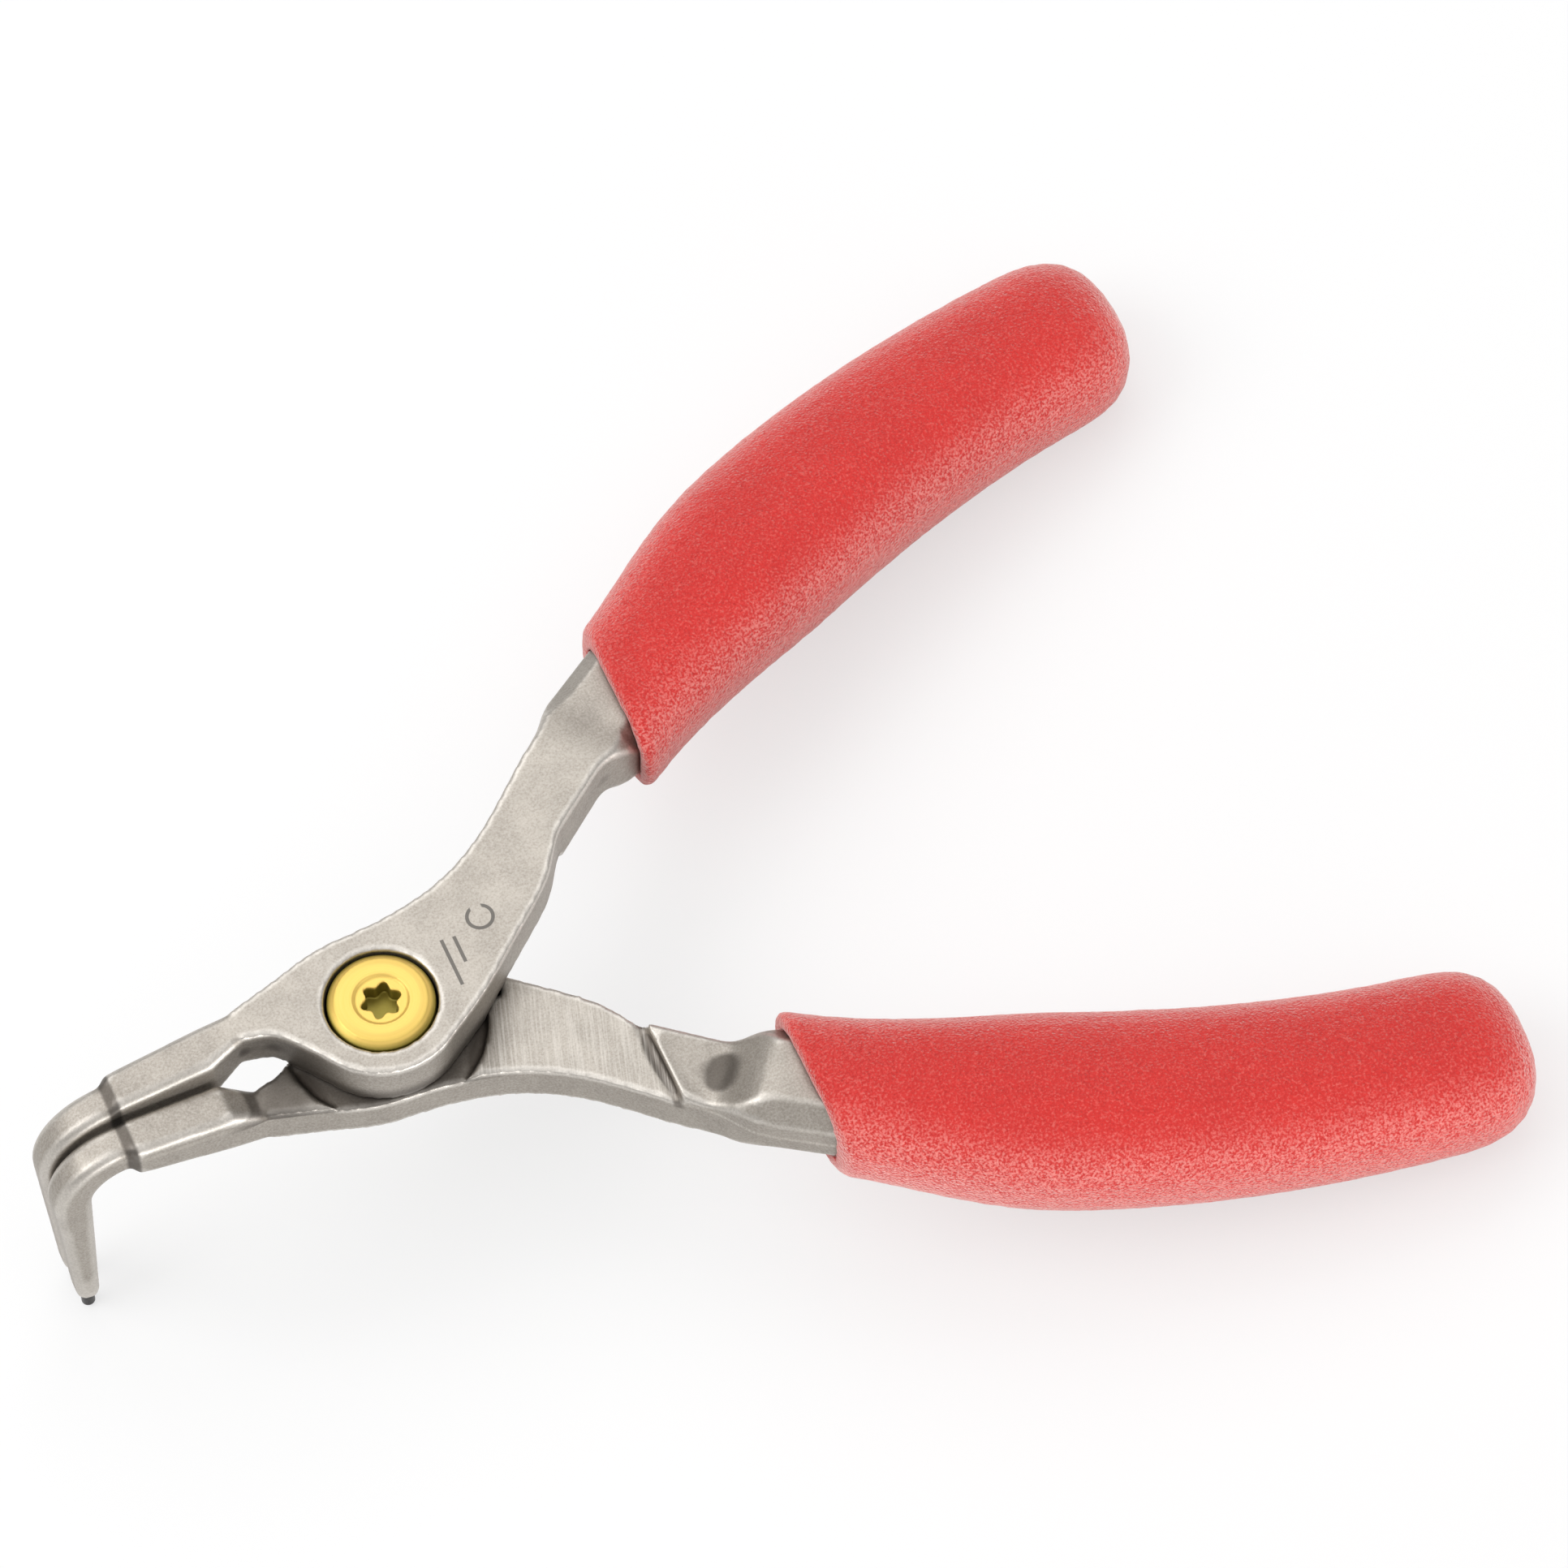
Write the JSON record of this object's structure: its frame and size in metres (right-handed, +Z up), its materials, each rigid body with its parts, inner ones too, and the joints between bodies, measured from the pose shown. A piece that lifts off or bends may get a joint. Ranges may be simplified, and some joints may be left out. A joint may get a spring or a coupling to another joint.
{
  "type": "circlip pliers",
  "caption": "Angled circlip pliers for outside rings: two lapped levers on a pivot screw, noses bent down to wire tips, an inner return spring and soft red grips.",
  "frame": {"origin": "middle of the tool's footprint on the table it rests on, tips and grip undersides at Z = 0", "axes": "+X from the tips to the handle ends, +Z up, +Y towards the handle of the upper lever"},
  "size_m": [0.1302, 0.1032, 0.0285],
  "materials": {
    "forged_steel": "satin, bead blasted",
    "yellow_zinc": "yellow zinc plated, semi-gloss",
    "spring_wire": "drawn wire",
    "tip_wire": "hardened dark",
    "red_grip": "matt, foamed dip"
  },
  "bodies": {
    "lower_half": {"lower_lever": "forged_steel", "pivot_screw": "yellow_zinc", "return_spring": "spring_wire", "lower_tip": "tip_wire", "lower_grip": "red_grip"},
    "upper_half": {"upper_lever": "forged_steel", "upper_tip": "tip_wire", "upper_grip": "red_grip"}
  },
  "joints": [
    {"name": "squeeze", "type": "hinge", "parent": "lower_half", "child": "upper_half", "pos_m": [-0.02839, 0, 0.02132], "axis": [-0.1679, 0, -0.9858], "range_deg": [0, 34], "stiffness_Nm_per_rad": 0.35, "springref_deg": -20.05, "deforming": ["return_spring"]}
  ]
}
